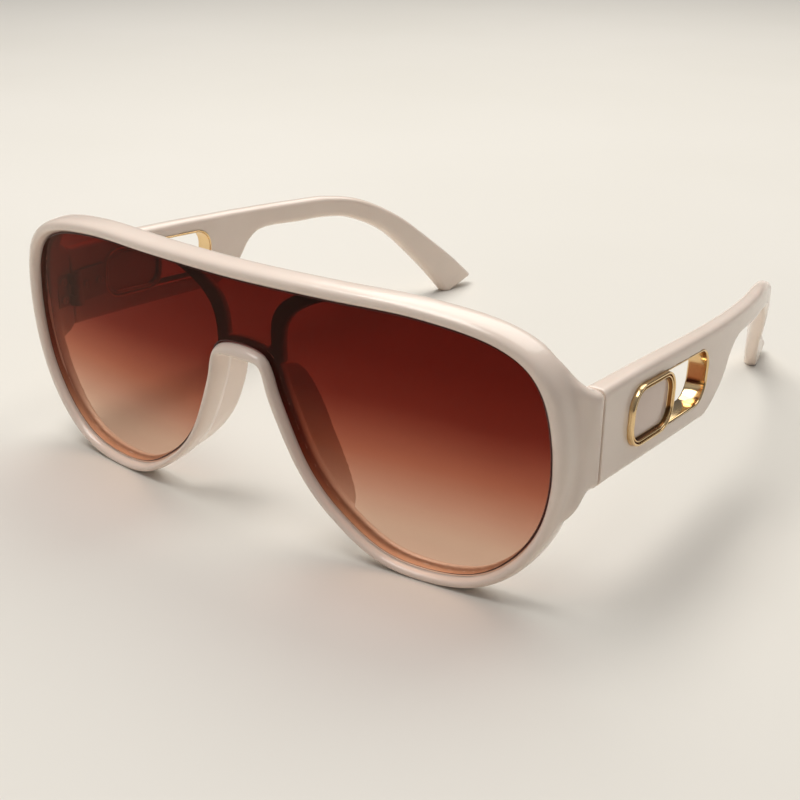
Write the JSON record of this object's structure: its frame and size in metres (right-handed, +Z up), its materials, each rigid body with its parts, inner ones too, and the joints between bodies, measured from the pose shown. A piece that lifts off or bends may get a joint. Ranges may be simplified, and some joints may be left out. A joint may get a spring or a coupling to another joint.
{
  "type": "sunglasses",
  "caption": "Flat-top shield sunglasses: moulded rim with a gradient lens, double bridge, and folding arms with a lined slot and raised ring.",
  "frame": {"origin": "on the table, below the middle of the box round the open glasses", "axes": "+Z up, the lens looks along -Y, the arms run back along +Y, +X towards the wearer's left"},
  "size_m": [0.1465, 0.1635, 0.0569],
  "materials": {
    "moulding": "gloss blush cream",
    "panel": "gloss blush cream",
    "lens": "graded brown tint",
    "gold_trim": "polished gold plating",
    "hinge_metal": "satin",
    "screw": "satin"
  },
  "bodies": {
    "front": {"front_frame": "moulding", "shield_lens": "lens", "hinge_front_leaf_left": "hinge_metal", "hinge_front_leaf_right": "hinge_metal", "hinge_pin_left": "screw", "hinge_pin_right": "screw", "front_leaf_screws_left": "screw", "front_leaf_screws_right": "screw"},
    "arm_left": {"temple_left": "moulding", "slot_liner_left": "gold_trim", "accent_ring_left": "gold_trim", "accent_panel_left": "panel", "hinge_arm_leaf_left": "hinge_metal", "arm_leaf_screws_left": "screw"},
    "arm_right": {"temple_right": "moulding", "slot_liner_right": "gold_trim", "accent_ring_right": "gold_trim", "accent_panel_right": "panel", "hinge_arm_leaf_right": "hinge_metal", "arm_leaf_screws_right": "screw"}
  },
  "joints": [
    {"name": "fold_left", "type": "hinge", "parent": "front", "child": "arm_left", "pos_m": [0.06555, -0.06401, 0.0335], "axis": [0, 0, 1], "range_deg": [-4, 82]},
    {"name": "fold_right", "type": "hinge", "parent": "front", "child": "arm_right", "pos_m": [-0.06555, -0.06401, 0.0335], "axis": [0, 0, -1], "range_deg": [-3, 68]}
  ]
}
